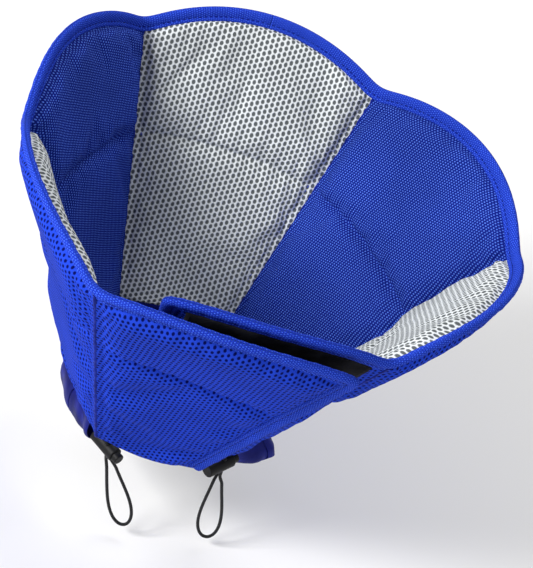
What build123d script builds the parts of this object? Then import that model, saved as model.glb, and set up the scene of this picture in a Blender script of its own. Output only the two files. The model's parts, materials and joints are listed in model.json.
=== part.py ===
"""Soft padded recovery collar: seven sewn petal panels that roll up into a six-sided cone.

Frame: +Z runs from the neck opening to the wide mouth, the origin is the centre of the neck
opening at the hem, and +Y points to panel 4, the middle panel. Every seam line passes through
one apex below the neck, so the whole collar unrolls into a flat fan about that point.
"""

from math import asin, atan2, cos, degrees, radians, sin, sqrt
import os

from build123d import *

# Driving dimensions, in millimetres and degrees
PANEL_ANGLE = 26.4  # angle of one panel, seen from the apex
NECK_REACH = 150.0  # apex to neck hem
CREASE_REACH = 255.0  # apex to the crease between lower and upper pads
RIM_REACH = 325.0  # apex to the rim where two petals meet
CREST_REACH = 341.0  # apex to the top of a petal
APEX = Vector(-3.2, 0.3, -131.0)
MIDDLE_TILT = 24.5  # lean of panel 4 away from the collar's axis
FOLDS = (60.0, 41.0, 63.0, 50.0, 57.0, 58.0)  # bend at each seam, from 1/2 to 6/7
OUTER_FLAP_SHARE = 0.93  # panel 1 is this part of a full panel wide
INNER_FLAP_SHARE = 0.82  # and panel 7 is this part

FOAM = 3.6  # pad thickness
CLOTH = 0.8  # cover and lining thickness
SEAM_INSET = 3.2  # a panel stops this far short of its seam line
SEAM_TAPE_RADIUS = 2.3
CREASE_GAP = 3.0  # between the lower and the upper foam pad
BINDING_WIDTH = 9.0
BINDING_THICKNESS = 6.8
BINDING_WRAP = 1.2  # binding cloth round the edge of the pad
PAD_MARGIN = 1.3  # cover, foam and lining end this far inside the binding's outer edge
CORNER_RADIUS = 14.0  # rounded corners of the two flaps

SLEEVE_RADIUS = 54.0  # inner wall of the drawcord sleeve
SLEEVE_DEPTH = 4.4  # sleeve, from its inner to its outer wall
SLEEVE_WALL = 0.6
SLEEVE_TOP = 2.0
SLEEVE_HEIGHT = 20.0
SLEEVE_PANELS = range(2, 7)  # the two flaps have a plain hem
SLEEVE_END_GAP = 3.2  # from a length of sleeve to its seam line
CORD_EXIT_GAP = 12.0  # the same where the cord comes out, at seams 1/2 and 6/7
ELASTIC_RADIUS = 1.5

HOOK_THICKNESS = 1.0
LOOP_THICKNESS = 0.7
HOOK_WIDTH = 24.0
CLOSURE_START = 168.0  # apex to the lower edge of hook strip and loop pad

CORD_RADIUS = 1.0
CORD_SPACING = 1.1  # each strand of a loop lies this far from the middle of its lock
LOOP_LENGTH = 64.0
LOOP_HALF_WIDTH = 8.0
LOOP_WIDTH_DIRECTION = Vector(0.94, 0.07, 0.33)
LOOP_WIDEST = 0.74  # where a loop is widest, as a part of its fall
LOCK_SLIDE = 4.0
STEM_ABOVE = 5.5  # cord above the middle of the lock
BARREL_RADIUS = 4.4
BARREL_BACK = 12.0  # barrel, from the cord to its closed end
BARREL_FRONT = 7.0  # and from the cord to its mouth
BARREL_WALL = 1.1
BUTTON_CLEARANCE = 0.1
BUTTON_TRAVEL = 3.4
BUTTON_BACK = 3.2  # button, from the cord to its inner end
BUTTON_FRONT = 10.8  # and to its thumb face
CORD_CLEARANCE = 0.08
SPRING_WIRE = 0.28
SPRING_TURNS = 5

PANELS = range(1, 8)
FIRST, MIDDLE, LAST = 1, 4, 7
HALF_ANGLE = PANEL_ANGLE / 2
HALF_PAD = FOAM / 2 + CLOTH
BELOW_NECK = NECK_REACH - 10
SLEEVE_MIDDLE = (SLEEVE_RADIUS + SLEEVE_DEPTH / 2, SLEEVE_TOP - SLEEVE_HEIGHT / 2)
TUNNEL_HEIGHT = SLEEVE_HEIGHT - 8.0  # the rest is hem above and below the cord's tunnel

# The rim of a petal is one circular arc through its two seam ends and its crest
RIM_CHORD = RIM_REACH * sin(radians(HALF_ANGLE))
RIM_SAG = CREST_REACH - RIM_REACH * cos(radians(HALF_ANGLE))
RIM_ARC_RADIUS = (RIM_CHORD**2 + RIM_SAG**2) / (2 * RIM_SAG)
RIM_ARC_CENTRE = CREST_REACH - RIM_ARC_RADIUS

os.makedirs("parts", exist_ok=True)


def save(builder, name):
    """Labels a finished piece and writes its file."""
    builder.part.label = name
    export_step(builder.part, f"parts/{name}.step")


def seam_direction(plane, side):
    """Direction of a panel's seam line, from the apex, on its +x or -x side."""
    half = radians(HALF_ANGLE)
    return plane.x_dir * (side * sin(half)) + plane.y_dir * cos(half)


def next_plane(plane, side, fold):
    """Plane of the neighbour on one side: turned by a panel's angle, then bent inward."""
    seam = Axis((0, 0, 0), seam_direction(plane, side))
    spin = Axis((0, 0, 0), plane.z_dir)
    across = plane.x_dir.rotate(spin, -side * PANEL_ANGLE)
    across = across.rotate(seam, side * fold)
    outward = plane.z_dir.rotate(seam, side * fold)
    return Plane(origin=APEX, x_dir=across, z_dir=outward)


def panel_planes():
    """Each panel's plane: origin at the apex, y along its middle line, z outward."""
    tilt = radians(MIDDLE_TILT)
    outward = Vector(0, cos(tilt), -sin(tilt))
    planes = {MIDDLE: Plane(origin=APEX, x_dir=(-1, 0, 0), z_dir=outward)}
    for number in range(MIDDLE - 1, FIRST - 1, -1):
        planes[number] = next_plane(planes[number + 1], 1, FOLDS[number - 1])
    for number in range(MIDDLE + 1, LAST + 1):
        planes[number] = next_plane(planes[number - 1], -1, FOLDS[number - 2])
    return planes


PLANES = panel_planes()


def seam_between(number):
    """Unit direction of the seam between panels number and number + 1."""
    return seam_direction(PLANES[number], -1)


def side_angles(number):
    """Angles of a panel's two side edges from its middle line."""
    if number == FIRST:
        return -HALF_ANGLE, -HALF_ANGLE + OUTER_FLAP_SHARE * PANEL_ANGLE
    if number == LAST:
        return HALF_ANGLE - INNER_FLAP_SHARE * PANEL_ANGLE, HALF_ANGLE
    return -HALF_ANGLE, HALF_ANGLE


def rim_reach(angle, margin=0.0):
    """Distance from the apex to the rim, margin inside it, at an angle from the middle line."""
    a = radians(angle)
    radius = RIM_ARC_RADIUS - margin
    return RIM_ARC_CENTRE * cos(a) + sqrt(radius**2 - (RIM_ARC_CENTRE * sin(a)) ** 2)


def at(reach, angle):
    """Sketch point at a distance from the apex and an angle from the middle line."""
    return (reach * sin(radians(angle)), reach * cos(radians(angle)))


def sector(number, height, inner, margin=0.0, outer=0.0, free_inset=0.0, seam_inset=SEAM_INSET):
    """Part of a panel between two arcs, on a plane height above the panel's own.

    The inner arc is inner away from the apex. The outer one is outer away, or, when outer
    is 0, follows the rim, margin inside it. free_inset moves a flap's free edge in.
    """
    low, high = side_angles(number)
    low_inset = free_inset if number == LAST else seam_inset
    high_inset = free_inset if number == FIRST else seam_inset

    def far(angle):
        return outer or rim_reach(angle, margin)

    low_in = low + degrees(asin(low_inset / inner))
    high_in = high - degrees(asin(high_inset / inner))
    low_out, high_out = low, high
    for _ in range(4):  # the inset edge meets the rim at an angle that settles in a few rounds
        low_out = low + degrees(asin(low_inset / far(low_out)))
        high_out = high - degrees(asin(high_inset / far(high_out)))
    with BuildSketch(PLANES[number].offset(height)) as shape:
        with BuildLine():
            ThreePointArc(at(inner, low_in), at(inner, (low_in + high_in) / 2), at(inner, high_in))
            Line(at(inner, high_in), at(far(high_out), high_out))
            middle = (low_out + high_out) / 2
            ThreePointArc(at(far(high_out), high_out), at(far(middle), middle), at(far(low_out), low_out))
            Line(at(far(low_out), low_out), at(inner, low_in))
        make_face()
        if not outer and number in (FIRST, LAST):
            free = high_out if number == FIRST else low_out
            corner = PLANES[number].offset(height).from_local_coords(Vector(*at(far(free), free)))
            near = shape.vertices().sort_by_distance(corner)[0]
            fillet(near, radius=max(CORNER_RADIUS - margin, 2.0))
    return shape.sketch


def cover(number, name, height):
    """Cloth skin from neck hem to rim, its lower face height above the panel's plane."""
    with BuildPart() as skin:
        extrude(sector(number, height, NECK_REACH, PAD_MARGIN, free_inset=PAD_MARGIN), amount=CLOTH)
    save(skin, f"{name}_{number}")


def foam(number):
    """Lower and upper foam pads, parted at the sewn crease."""
    lower_end = CREASE_REACH - CREASE_GAP / 2
    upper_start = CREASE_REACH + CREASE_GAP / 2
    with BuildPart() as pads:
        extrude(
            sector(number, -FOAM / 2, NECK_REACH, outer=lower_end, free_inset=PAD_MARGIN),
            amount=FOAM,
        )
        extrude(
            sector(number, -FOAM / 2, upper_start, PAD_MARGIN, free_inset=PAD_MARGIN),
            amount=FOAM,
        )
    save(pads, f"foam_{number}")


def binding(number):
    """Folded tape round the rim, and round the free end on the two flaps."""
    with BuildPart() as tape:
        extrude(sector(number, 0, NECK_REACH), amount=BINDING_THICKNESS / 2, both=True)
        extrude(
            sector(number, 0, BELOW_NECK, BINDING_WIDTH, free_inset=BINDING_WIDTH, seam_inset=0),
            amount=BINDING_THICKNESS,
            both=True,
            mode=Mode.SUBTRACT,
        )
        extrude(
            sector(number, 0, BELOW_NECK, BINDING_WRAP, free_inset=BINDING_WRAP, seam_inset=0),
            amount=HALF_PAD,
            both=True,
            mode=Mode.SUBTRACT,
        )
    save(tape, f"rim_binding_{number}")


def heading(direction, height):
    """Angle about +Z at which a line from the apex passes a height."""
    point = APEX + direction * ((height - APEX.Z) / direction.Z)
    return degrees(atan2(point.Y, point.X))


def sleeve_span(number):
    """First angle and arc of a length of sleeve, counter-clockwise about +Z."""
    height = SLEEVE_TOP - SLEEVE_HEIGHT / 2
    start = heading(seam_between(number), height)
    arc = (heading(seam_between(number - 1), height) - start) % 360
    first_gap = CORD_EXIT_GAP if number == SLEEVE_PANELS[-1] else SLEEVE_END_GAP
    last_gap = CORD_EXIT_GAP if number == SLEEVE_PANELS[0] else SLEEVE_END_GAP
    first_gap, last_gap = degrees(first_gap / SLEEVE_RADIUS), degrees(last_gap / SLEEVE_RADIUS)
    return start + first_gap, arc - first_gap - last_gap


def radial_plane(angle):
    """Upright plane through the collar's axis: x outward, y up."""
    a = radians(angle)
    return Plane(origin=(0, 0, 0), x_dir=(cos(a), sin(a), 0), z_dir=(sin(a), -cos(a), 0))


def sleeve(number):
    """A length of drawcord sleeve: two cloth walls with the cord's tunnel between them."""
    start, arc = sleeve_span(number)
    with BuildPart() as tube:
        with BuildSketch(radial_plane(start)):
            with Locations(SLEEVE_MIDDLE):
                Rectangle(SLEEVE_DEPTH, SLEEVE_HEIGHT)
                Rectangle(SLEEVE_DEPTH - 2 * SLEEVE_WALL, TUNNEL_HEIGHT, mode=Mode.SUBTRACT)
        revolve(axis=Axis.Z, revolution_arc=arc)
    save(tube, f"neck_sleeve_{number}")


def drawcord(number):
    """A length of elastic drawcord lying in the middle of the sleeve's tunnel."""
    start, arc = sleeve_span(number)
    with BuildPart() as elastic:
        with BuildSketch(radial_plane(start)):
            with Locations(SLEEVE_MIDDLE):
                Circle(ELASTIC_RADIUS)
        revolve(axis=Axis.Z, revolution_arc=arc)
    save(elastic, f"drawcord_{number}")


def seam_tape(number):
    """Rolled seam allowance on the line where two panels are sewn together."""
    seam = seam_between(number)
    start = APEX + seam * (NECK_REACH + 2)
    length = RIM_REACH - NECK_REACH - 5
    with BuildPart() as tape:
        with BuildSketch(Plane(origin=start, z_dir=seam)):
            Circle(SEAM_TAPE_RADIUS)
        extrude(amount=length)
    save(tape, f"seam_tape_{number}_{number + 1}")


def closure():
    """Hook strip inside the outer flap, and loop pad over the outside of the inner flap."""
    free_edge = BINDING_WIDTH + 2
    with BuildPart() as hook:
        extrude(
            sector(FIRST, -HALF_PAD - HOOK_THICKNESS, CLOSURE_START, free_edge, free_inset=free_edge),
            amount=HOOK_THICKNESS,
        )
        extrude(
            sector(
                FIRST,
                -HALF_PAD - HOOK_THICKNESS,
                BELOW_NECK,
                margin=-1,
                free_inset=free_edge + HOOK_WIDTH,
                seam_inset=0,
            ),
            amount=HOOK_THICKNESS,
            mode=Mode.SUBTRACT,
        )
    save(hook, "hook_strip")
    with BuildPart() as loops:
        extrude(
            sector(LAST, HALF_PAD, CLOSURE_START, BINDING_WIDTH + 1, free_inset=free_edge, seam_inset=8),
            amount=LOOP_THICKNESS,
        )
    save(loops, "loop_pad")


class CordLock:
    """Where one cord lock hangs: its middle, its barrel's direction and how its loop falls."""

    def __init__(self, name, middle, barrel, cord_up, fall):
        self.name = name
        self.middle = Vector(*middle)
        self.cord_up = Vector(*cord_up).normalized()
        along = Vector(*barrel)
        self.barrel = (along - self.cord_up * along.dot(self.cord_up)).normalized()
        self.side = self.cord_up.cross(self.barrel)
        self.fall = Vector(*fall).normalized()
        wide = LOOP_WIDTH_DIRECTION
        self.width = (wide - self.fall * wide.dot(self.fall)).normalized()


def barrel_plane(lock, distance):
    """Plane across the barrel, distance in front of the cord."""
    origin = lock.middle + lock.barrel * distance
    return Plane(origin=origin, x_dir=lock.side, z_dir=lock.barrel)


def cord_plane(lock, distance):
    """Plane across the cord, distance above the middle of the lock; x runs along the barrel."""
    origin = lock.middle + lock.cord_up * distance
    return Plane(origin=origin, x_dir=lock.barrel, z_dir=lock.cord_up)


def lock_barrel(lock):
    """Cylindrical housing, closed at the back, with a cross hole for both strands."""
    hole_length = 2 * (CORD_RADIUS + CORD_CLEARANCE)
    hole_width = 2 * (CORD_SPACING + CORD_RADIUS + CORD_CLEARANCE)
    with BuildPart() as barrel:
        with BuildSketch(barrel_plane(lock, -BARREL_BACK)):
            Circle(BARREL_RADIUS)
        extrude(amount=BARREL_BACK + BARREL_FRONT)
        fillet(barrel.edges().filter_by(GeomType.CIRCLE), radius=0.8)
        with BuildSketch(barrel_plane(lock, -BARREL_BACK + BARREL_WALL)):
            Circle(BARREL_RADIUS - BARREL_WALL)
        extrude(amount=BARREL_BACK + BARREL_FRONT, mode=Mode.SUBTRACT)
        with BuildSketch(cord_plane(lock, 0)):
            Rectangle(hole_length, hole_width)
        extrude(amount=2 * BARREL_RADIUS, both=True, mode=Mode.SUBTRACT)
    save(barrel, f"lock_barrel_{lock.name}")


def lock_button(lock):
    """Plunger whose cross slot clears the cord over the whole travel and grips it at rest."""
    slot_start = -CORD_RADIUS - CORD_CLEARANCE
    slot_end = CORD_RADIUS + CORD_CLEARANCE + BUTTON_TRAVEL
    slot_width = 2 * (CORD_SPACING + CORD_RADIUS + CORD_CLEARANCE)
    with BuildPart() as button:
        with BuildSketch(barrel_plane(lock, -BUTTON_BACK)):
            Circle(BARREL_RADIUS - BARREL_WALL - BUTTON_CLEARANCE)
        extrude(amount=BUTTON_BACK + BUTTON_FRONT)
        fillet(button.edges().filter_by(GeomType.CIRCLE), radius=0.7)
        with BuildSketch(cord_plane(lock, 0)):
            with Locations(((slot_start + slot_end) / 2, 0)):
                Rectangle(slot_end - slot_start, slot_width)
        extrude(amount=2 * BARREL_RADIUS, both=True, mode=Mode.SUBTRACT)
    save(button, f"lock_button_{lock.name}")


def lock_spring(lock):
    """Coil spring between the barrel's closed end and the button, at its pressed length."""
    room = BARREL_BACK - BARREL_WALL - BUTTON_BACK - BUTTON_TRAVEL
    height = room - 4 * SPRING_WIRE
    coil_radius = BARREL_RADIUS - BARREL_WALL - 2 * SPRING_WIRE
    base = lock.middle - lock.barrel * (BARREL_BACK - BARREL_WALL - 1.5 * SPRING_WIRE)
    with BuildPart() as spring:
        with BuildLine() as path:
            Helix(height / SPRING_TURNS, height, coil_radius, center=base, direction=lock.barrel)
        with BuildSketch(Plane(origin=path.line @ 0, z_dir=path.line % 0)):
            Circle(SPRING_WIRE)
        sweep(path=path.line)
    save(spring, f"lock_spring_{lock.name}")


def cord_loop(lock):
    """Doubled cord: two strands through the lock that open into a hanging teardrop."""
    straight = BARREL_RADIUS + LOCK_SLIDE + 1
    tops = [lock.middle + lock.cord_up * STEM_ABOVE + lock.side * (s * CORD_SPACING) for s in (1, -1)]
    lows = [lock.middle - lock.cord_up * straight + lock.side * (s * CORD_SPACING) for s in (1, -1)]
    hang = lock.middle - lock.cord_up * straight
    fall = LOOP_LENGTH - straight
    waist = [hang + (lock.fall * LOOP_WIDEST * fall + lock.width * (s * LOOP_HALF_WIDTH)) / 2 for s in (1, -1)]
    belly = [hang + lock.fall * LOOP_WIDEST * fall + lock.width * (s * LOOP_HALF_WIDTH) for s in (1, -1)]
    bottom = hang + lock.fall * fall
    with BuildPart() as loop:
        with BuildLine() as path:
            Line(tops[0], lows[0])
            Spline(
                [lows[0], waist[0], belly[0], bottom, belly[1], waist[1], lows[1]],
                tangents=[-lock.cord_up, lock.cord_up],
            )
            Line(lows[1], tops[1])
        with BuildSketch(Plane(origin=tops[0], z_dir=-lock.cord_up)):
            Circle(CORD_RADIUS)
        sweep(path=path.line)
    save(loop, f"cord_loop_{lock.name}")


LOCKS = (
    CordLock(
        "left",
        middle=(-24.3, -58.0, -10.3),
        barrel=(0.71, -0.70, -0.02),
        cord_up=(-0.21, -0.23, 0.95),
        fall=(0.5, -0.17, -0.85),
    ),
    CordLock(
        "right",
        middle=(42.5, -48.0, -5.5),
        barrel=(0.70, 0.71, 0.11),
        cord_up=(-0.11, -0.05, 0.99),
        fall=(0.17, -0.1, -0.98),
    ),
)
for panel in PANELS:
    cover(panel, "outer_cover", HALF_PAD - CLOTH)
    cover(panel, "lining", -HALF_PAD)
    foam(panel)
    binding(panel)

for panel in SLEEVE_PANELS:
    sleeve(panel)
    drawcord(panel)

for panel in PANELS[:-1]:
    seam_tape(panel)

closure()

for cord_lock in LOCKS:
    lock_barrel(cord_lock)
    lock_button(cord_lock)
    lock_spring(cord_lock)
    cord_loop(cord_lock)
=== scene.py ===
"""Looks of the soft padded recovery collar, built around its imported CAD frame.

Seven padded mesh panels, a puffy rim binding, a gathered satin sleeve at the neck, hook and loop
cloth on the two flaps, and two cord locks with hanging cord loops. Lengths named _MM are in
millimetres; everything handed to Blender is in metres.
"""

import json
import math

import bmesh
import bpy
import numpy as np
from mathutils import Matrix, Vector


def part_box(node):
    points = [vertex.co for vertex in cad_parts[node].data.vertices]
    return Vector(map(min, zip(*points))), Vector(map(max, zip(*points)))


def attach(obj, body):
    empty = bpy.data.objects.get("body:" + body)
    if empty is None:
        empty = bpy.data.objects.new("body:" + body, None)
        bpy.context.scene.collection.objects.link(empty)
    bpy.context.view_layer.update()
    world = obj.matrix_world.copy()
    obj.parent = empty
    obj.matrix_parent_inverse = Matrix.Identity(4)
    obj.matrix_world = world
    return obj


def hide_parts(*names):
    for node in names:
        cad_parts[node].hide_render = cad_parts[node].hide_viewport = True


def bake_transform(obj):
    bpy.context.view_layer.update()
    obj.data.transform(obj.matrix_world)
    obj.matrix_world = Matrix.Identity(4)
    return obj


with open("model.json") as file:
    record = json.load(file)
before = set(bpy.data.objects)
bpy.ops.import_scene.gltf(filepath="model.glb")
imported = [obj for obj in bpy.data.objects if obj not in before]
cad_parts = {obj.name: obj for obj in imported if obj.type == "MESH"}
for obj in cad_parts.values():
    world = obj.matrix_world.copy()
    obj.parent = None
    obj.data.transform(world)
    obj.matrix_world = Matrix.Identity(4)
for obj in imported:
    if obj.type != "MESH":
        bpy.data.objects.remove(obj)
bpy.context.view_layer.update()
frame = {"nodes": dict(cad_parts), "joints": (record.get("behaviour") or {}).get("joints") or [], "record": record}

MM = 0.001

# Shape of the padding, in millimetres
OUTER_UPPER_MM, OUTER_LOWER_MM = 4.8, 4.0  # how far the pads swell outward
INNER_UPPER_MM, INNER_LOWER_MM = 6.5, 4.6  # and inward
FLAP_SWELL_MM = 2.4  # faces of the two flaps that lie against each other
SEWN_HALF_MM = 0.7  # half thickness where the layers are sewn together
SEAM_STRIP_MM = 4.6  # strip from a seam to its topstitching
SEAM_ROLL_MM = 0.5  # and how far it swells between the two
FREE_STRIP_MM = 1.0  # the same beside a flap's free edge
PUFF_WIDTH_MM = 12.0  # a pad reaches its full thickness this far from the stitching
CREASE_PUFF_MM, HEM_PUFF_MM = 0.8 * PUFF_WIDTH_MM, 0.7 * PUFF_WIDTH_MM  # from crease and hem
PUCKER_MM, PUCKER_PITCH_MM, PUCKER_FADE_MM = 0.55, 9.0, 9.0  # ripples beside the stitching
FLARE_MM = 10.5  # a petal's crest leans out this far beyond its seams
FLAP_DROOP_MM = 16.0  # the inner flap's free rim corner leans out towards the outer flap
CLOTH_MM = 0.6
TUCK_MM = 4.5  # panel cloth ends this far inside the rim, under the binding
RIM_STRIP_MM = 5.2  # from there to where the pad starts
HEM_SAG_MM, FLAP_HEM_SAG_MM = 1.5, 11.0  # a hem hangs lower in its middle, the flaps' more
HEM_STITCH_MM = 3.5  # the hem's stitching is this far above it
HEM_DROPS_MM = {2: 6.0, 3: 4.0}  # the hem hangs lower at these seams
CREASE_LIFT_MM = 22.0  # the crease between the pads climbs this much towards seam 1/2
NOTCH_LIFTS_MM = {1: 9.0, 2: -15.0, 3: -3.5, 4: 2.0, 5: 8.0, 6: 3.0}  # rim above its arc, by seam
BINDING_WIDTH_MM = 9.0
RIM_STEP_MM = 1.5  # spacing of the points along the rim
RIM_SMOOTHING = 24  # rounds
STITCH_LENGTH_MM, STITCH_PITCH_MM, STITCH_RADIUS_MM = 2.3, 3.2, 0.3
SIMULATION_FRAMES = 16
WRINKLE_CAP_MM = 2.2  # the simulation may move cloth this far

PANELS = range(1, 8)
FIRST, LAST = 1, 7
SEAM_JOINTS = {
    1: "seam_1_2_opens",
    2: "seam_2_3_opens",
    3: "unroll",
    4: "seam_4_5_opens",
    5: "seam_5_6_opens",
    6: "seam_6_7_opens",
}
COLUMNS = 53
LOWER_ROWS, UPPER_ROWS = 22, 36
ROWS = LOWER_ROWS + UPPER_ROWS


# ---------------------------------------------------------------- geometry of the panels


def unit(v):
    return v / np.linalg.norm(v)


def smooth_step(x):
    x = np.clip(x, 0.0, 1.0)
    return x * x * (3 - 2 * x)


def cad_points(node):
    """A CAD node's vertices as an array, in metres."""
    mesh = frame["nodes"][node].data
    co = np.zeros(len(mesh.vertices) * 3)
    mesh.vertices.foreach_get("co", co)
    return co.reshape(-1, 3)


def seam_lines():
    """The apex where all seam lines meet, and each seam's direction away from it."""
    joints = {j["name"]: j for j in frame["joints"]}
    points = {k: np.array(joints[name]["pos_m"]) for k, name in SEAM_JOINTS.items()}
    axes = {k: unit(np.array(joints[name]["axis"])) for k, name in SEAM_JOINTS.items()}
    across = {k: np.eye(3) - np.outer(axes[k], axes[k]) for k in axes}
    apex = np.linalg.solve(sum(across.values()), sum(across[k] @ points[k] for k in points))
    return apex, {k: unit(points[k] - apex) for k in points}


APEX, SEAMS = seam_lines()
PANEL_ANGLE = math.acos(SEAMS[3] @ SEAMS[4])
HALF_ANGLE = PANEL_ANGLE / 2


def panel_axes(n):
    """A panel's axes: x across, y along its middle line from the apex, z outward."""
    if n not in (FIRST, LAST):
        x = unit(SEAMS[n - 1] - SEAMS[n])
        y = unit(SEAMS[n - 1] + SEAMS[n])
        return x, y, np.cross(x, y)
    points = cad_points(f"outer_cover_{n}")
    z = np.linalg.svd(points - points.mean(0), full_matrices=False)[2][2]
    middle = points.mean(0)
    z = z * np.sign(z @ np.array([middle[0], middle[1], 0.0]))
    seam = SEAMS[1] if n == FIRST else SEAMS[6]
    side = -1 if n == FIRST else 1
    w = np.cross(seam, z)
    x = math.cos(HALF_ANGLE) * w + side * math.sin(HALF_ANGLE) * seam
    return x, np.cross(z, x), z


AXES = {n: panel_axes(n) for n in PANELS}


def local(n, points):
    """Angle from a panel's middle line and distance from the apex of CAD points."""
    x, y, _ = AXES[n]
    p = points - APEX
    return np.arctan2(p @ x, p @ y), np.hypot(p @ x, p @ y)


def measure_panels():
    """Reaches from the apex to hem, crease, notch and crest, and each flap's free edge angle."""
    angle, reach = local(4, cad_points("rim_binding_4"))
    crest = reach.max()
    notch = reach[np.abs(angle) > 0.97 * np.abs(angle).max()].max()
    _, pad = local(4, cad_points("foam_4"))
    pad = np.sort(pad)
    steps = np.diff(pad)
    widest = np.argmax(steps * ((pad[:-1] > 1.3 * pad[0]) & (pad[1:] < 0.9 * pad[-1])))
    free_1 = local(FIRST, cad_points("rim_binding_1"))[0].max()
    free_7 = local(LAST, cad_points("rim_binding_7"))[0].min()
    return pad[0], (pad[widest] + pad[widest + 1]) / 2, notch, crest, free_1, free_7


NECK, CREASE, NOTCH, CREST, FREE_1, FREE_7 = measure_panels()


def sides(n):
    """Low and high side angles of a panel."""
    return (FREE_7 if n == LAST else -HALF_ANGLE), (FREE_1 if n == FIRST else HALF_ANGLE)


def notch_lift(n, t):
    """How much further out the soft rim sits than the pattern's arc, t from low to high side."""
    low = NOTCH_LIFTS_MM.get(n, 0.0)
    high = NOTCH_LIFTS_MM.get(n - 1, 0.0)
    return (low + (high - low) * t) * MM


def rim_reach(n, t):
    """Distance from the apex to a petal's rim."""
    low, high = sides(n)
    a = low + (high - low) * t
    chord = NOTCH * math.sin(HALF_ANGLE)
    sag = CREST - NOTCH * math.cos(HALF_ANGLE)
    radius = (chord**2 + sag**2) / (2 * sag)
    centre = CREST - radius
    return centre * np.cos(a) + np.sqrt(radius**2 - (centre * np.sin(a)) ** 2) + notch_lift(n, t)


def crease_reach(n, t):
    """Distance from the apex to the stitched crease between a panel's lower and upper pads."""
    climb = {FIRST: 1 - np.asarray(t, float), FIRST + 1: np.asarray(t, float)}.get(n, 0.0 * np.asarray(t))
    return CREASE + CREASE_LIFT_MM * MM * climb


def panel_point(n, t, reach, height=0.0):
    """Point on a panel's flared middle surface, t from low to high side, plus height outward."""
    x, y, z = AXES[n]
    low, high = sides(n)
    a = low + (high - low) * np.asarray(t, float)
    reach = np.asarray(reach, float)
    lift = np.clip((reach - CREASE) / (CREST - CREASE), 0.0, 1.3)
    bow = FLARE_MM * MM * np.sin(math.pi * np.asarray(t)) * lift
    if n == LAST:
        corner = np.clip((reach - CREASE) / (NOTCH - CREASE), 0, 1.1) * (1 - np.asarray(t)) ** 1.5
        bow = bow + FLAP_DROOP_MM * MM * corner
    h = (bow + height)[..., None]
    return APEX + (reach * np.sin(a))[..., None] * x + (reach * np.cos(a))[..., None] * y + h * z


def pillow(distance, width):
    """0 at a sewn line, rising like a cushion's side to 1 at width."""
    q = 1 - np.clip(distance / width, 0.0, 1.0)
    return np.sqrt(1 - q * q)


def strip_and_pad(distance, strip, full, roll_mm=SEAM_ROLL_MM):
    """Half thickness away from a seam: a flat sewn strip, its stitch groove, then the pad."""
    q = np.clip(distance / strip, 0.0, 1.0)
    roll = SEWN_HALF_MM + roll_mm * np.sin(math.pi * q)
    pad = SEWN_HALF_MM + (full - SEWN_HALF_MM) * pillow(distance - strip, PUFF_WIDTH_MM)
    return np.where(q < 1, roll, pad)


def pucker(distance, along):
    """Small ripples beside a line of stitching, fading away from it."""
    wave = np.sin(2 * math.pi * along / PUCKER_PITCH_MM + 1.7 * np.sin(along * 0.11))
    return PUCKER_MM * wave * np.exp(-np.maximum(distance, 0) / PUCKER_FADE_MM)


def half_thickness(n, t, reach, side):
    """Half thickness on the outer (side 1) or inner (-1) face, thin where the layers are sewn."""
    low, high = sides(n)
    a = low + (high - low) * t
    upper, lower = (OUTER_UPPER_MM, OUTER_LOWER_MM) if side > 0 else (INNER_UPPER_MM, INNER_LOWER_MM)
    inside_overlap = (n == FIRST and side < 0) or (n == LAST and side > 0)
    if inside_overlap:
        upper = lower = FLAP_SWELL_MM
    crease_at = crease_reach(n, t)
    full = np.where(reach > crease_at, upper, lower)
    low_strip = FREE_STRIP_MM if n == LAST else SEAM_STRIP_MM
    high_strip = FREE_STRIP_MM if n == FIRST else SEAM_STRIP_MM
    low_edge = BINDING_WIDTH_MM if n == LAST else 0.0
    high_edge = BINDING_WIDTH_MM if n == FIRST else 0.0
    from_low = reach * np.sin(np.abs(a - low)) / MM - low_edge
    from_high = reach * np.sin(np.abs(high - a)) / MM - high_edge
    from_rim = (rim_reach(n, t) - reach) / MM - TUCK_MM
    half = np.minimum(strip_and_pad(from_low, low_strip, full), strip_and_pad(from_high, high_strip, full))
    half = np.minimum(half, strip_and_pad(from_rim, RIM_STRIP_MM, full, roll_mm=0.0))
    crease = pillow(np.abs(reach - crease_at) / MM, CREASE_PUFF_MM)
    hem = pillow((reach - hem_reach(n, t)) / MM - HEM_STITCH_MM, HEM_PUFF_MM)
    half = SEWN_HALF_MM + (half - SEWN_HALF_MM) * crease * hem
    if not inside_overlap:
        along, across = reach / MM, reach * a / MM
        ripple = pucker(from_low - low_strip, along) + pucker(from_high - high_strip, along + 4)
        ripple = ripple + pucker(from_rim - RIM_STRIP_MM, across)
        ripple = ripple + pucker(np.abs(reach - crease_at) / MM, across + 3)
        half = half + ripple * smooth_step((half - SEWN_HALF_MM) / 2.0)
    return half * MM


def hem_reach(n, t):
    """Distance from the apex to a panel's hem."""
    sag = FLAP_HEM_SAG_MM if n in (FIRST, LAST) else HEM_SAG_MM
    low, high = HEM_DROPS_MM.get(n, 0.0), HEM_DROPS_MM.get(n - 1, 0.0)
    drop = low + (high - low) * np.asarray(t) + sag * np.sin(math.pi * np.asarray(t)) ** 0.8
    return NECK - drop * MM


def crowded(count, share):
    """0 to 1 in count steps, crowded towards both ends."""
    even = np.linspace(0, 1, count)
    return share * (1 - np.cos(math.pi * even)) / 2 + (1 - share) * even


def grid(n):
    """t and reach of a panel's grid, rows from hem to rim, columns from low to high side."""
    t, lower = np.meshgrid(crowded(COLUMNS, 0.6), crowded(LOWER_ROWS + 1, 0.6)[:-1])
    t_upper, upper = np.meshgrid(crowded(COLUMNS, 0.6), crowded(UPPER_ROWS, 0.6))
    rim = rim_reach(n, t_upper) - TUCK_MM * MM
    hem = hem_reach(n, t)
    crease, crease_upper = crease_reach(n, t), crease_reach(n, t_upper)
    reach = np.concatenate([hem + (crease - hem) * lower, crease_upper + (rim - crease_upper) * upper])
    return np.concatenate([t, t_upper]), reach


# ---------------------------------------------------------------- meshes


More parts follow.
